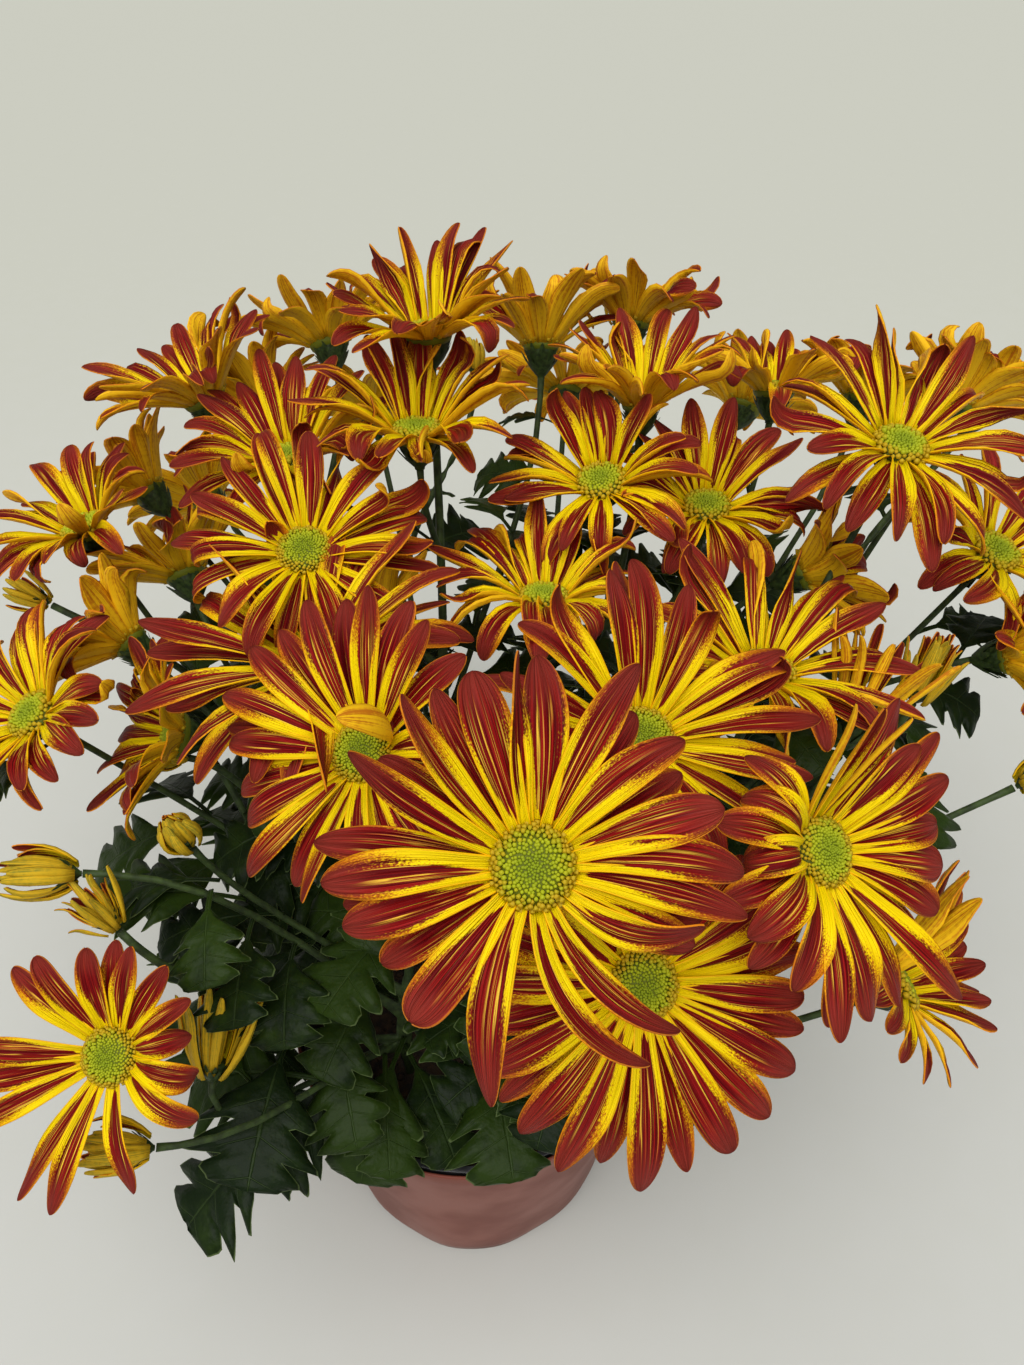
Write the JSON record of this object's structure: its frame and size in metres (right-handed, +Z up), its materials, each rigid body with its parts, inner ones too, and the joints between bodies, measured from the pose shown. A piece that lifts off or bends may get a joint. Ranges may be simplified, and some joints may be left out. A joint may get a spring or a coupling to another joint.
{
  "type": "potted chrysanthemum",
  "caption": "Bushy potted chrysanthemum: large daisy heads with crimson rays edged in yellow, side buds and dark lobed leaves, in a terracotta-coloured plastic pot.",
  "frame": {"origin": "centre of the pot cover's base, on the surface it stands on", "axes": "+Z up the pot's axis; the front of the plant, with the largest heads, faces -Y; +X to the viewer's right"},
  "size_m": [0.3732, 0.3565, 0.3483],
  "materials": {
    "terracotta_plastic": "satin",
    "black_plastic": "satin",
    "growing_mix": "matte",
    "stem": "satin",
    "leaf_blade": "satin",
    "ray_florets": "satin",
    "bud_florets": "satin"
  },
  "bodies": {
    "root": {"pot_cover": "terracotta_plastic", "grow_pot": "black_plastic", "potting_mix": "growing_mix", "shoot_1": "stem", "shoot_2": "stem", "shoot_3": "stem", "shoot_4": "stem", "shoot_5": "stem", "shoot_6": "stem", "flower_01": "ray_florets", "flower_02": "ray_florets", "flower_03": "ray_florets", "flower_04": "ray_florets", "flower_05": "ray_florets", "flower_06": "ray_florets", "flower_07": "ray_florets", "flower_08": "ray_florets", "flower_09": "ray_florets", "flower_10": "ray_florets", "flower_11": "ray_florets", "flower_12": "ray_florets", "flower_13": "ray_florets", "flower_14": "ray_florets", "flower_15": "ray_florets", "flower_16": "ray_florets", "flower_17": "ray_florets", "flower_18": "ray_florets", "flower_19": "ray_florets", "flower_20": "ray_florets", "flower_21": "ray_florets", "flower_22": "ray_florets", "flower_23": "ray_florets", "flower_24": "ray_florets", "flower_25": "ray_florets", "flower_26": "ray_florets", "flower_27": "ray_florets", "flower_28": "ray_florets", "flower_29": "ray_florets", "flower_30": "ray_florets", "flower_31": "ray_florets", "flower_32": "ray_florets", "flower_33": "ray_florets", "flower_34": "ray_florets", "flower_35": "ray_florets", "flower_36": "ray_florets", "bud_1": "bud_florets", "bud_2": "bud_florets", "bud_3": "bud_florets", "bud_4": "bud_florets", "bud_5": "bud_florets", "bud_6": "bud_florets", "bud_7": "bud_florets", "leaf_1": "leaf_blade", "leaf_2": "leaf_blade", "leaf_3": "leaf_blade", "leaf_4": "leaf_blade", "leaf_5": "leaf_blade", "leaf_6": "leaf_blade", "leaf_7": "leaf_blade", "leaf_8": "leaf_blade"}
  },
  "joints": []
}
